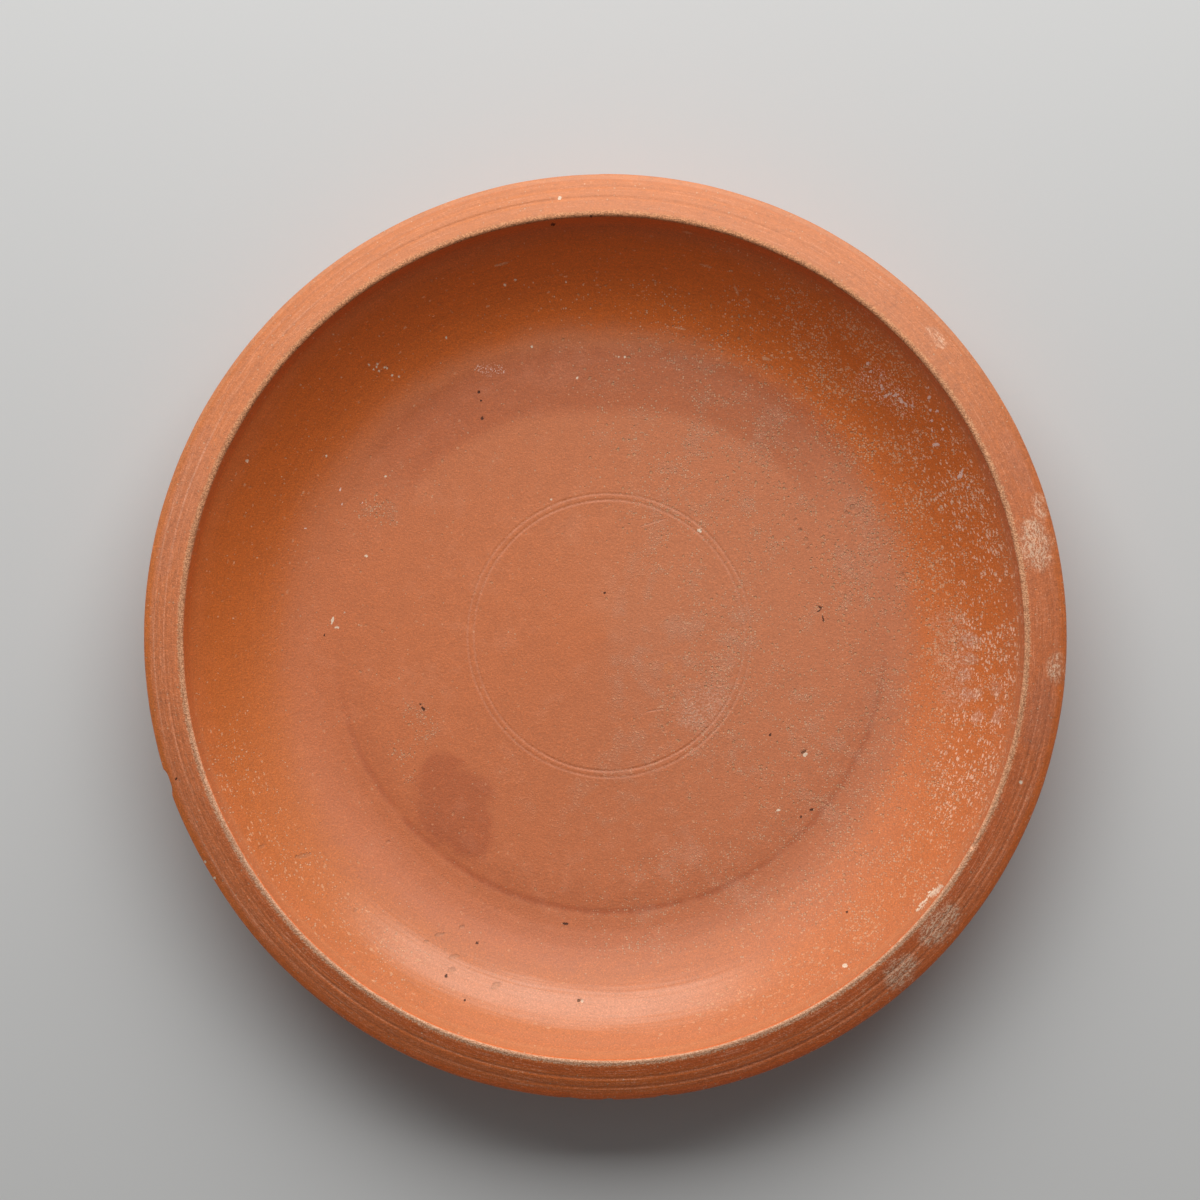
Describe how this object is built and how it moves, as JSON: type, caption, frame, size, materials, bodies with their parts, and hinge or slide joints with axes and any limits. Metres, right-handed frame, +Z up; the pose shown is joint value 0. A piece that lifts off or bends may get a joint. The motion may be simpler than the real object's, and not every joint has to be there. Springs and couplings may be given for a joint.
{
  "type": "dish",
  "caption": "Round redware dish thrown in one piece: flat floor, flaring wall, raised lip and a grooved rim that slopes outwards and down.",
  "frame": {"origin": "middle of the ring under the base that the dish stands on, at the level of the table", "axes": "+Z up along the wheel's axis; +Y is the direction that is up in the picture and +X its right"},
  "size_m": [0.3, 0.3, 0.04],
  "materials": {
    "red_slip": "orange-red slip, worn and softly glossy"
  },
  "bodies": {
    "root": {"dish": "red_slip"}
  },
  "joints": []
}
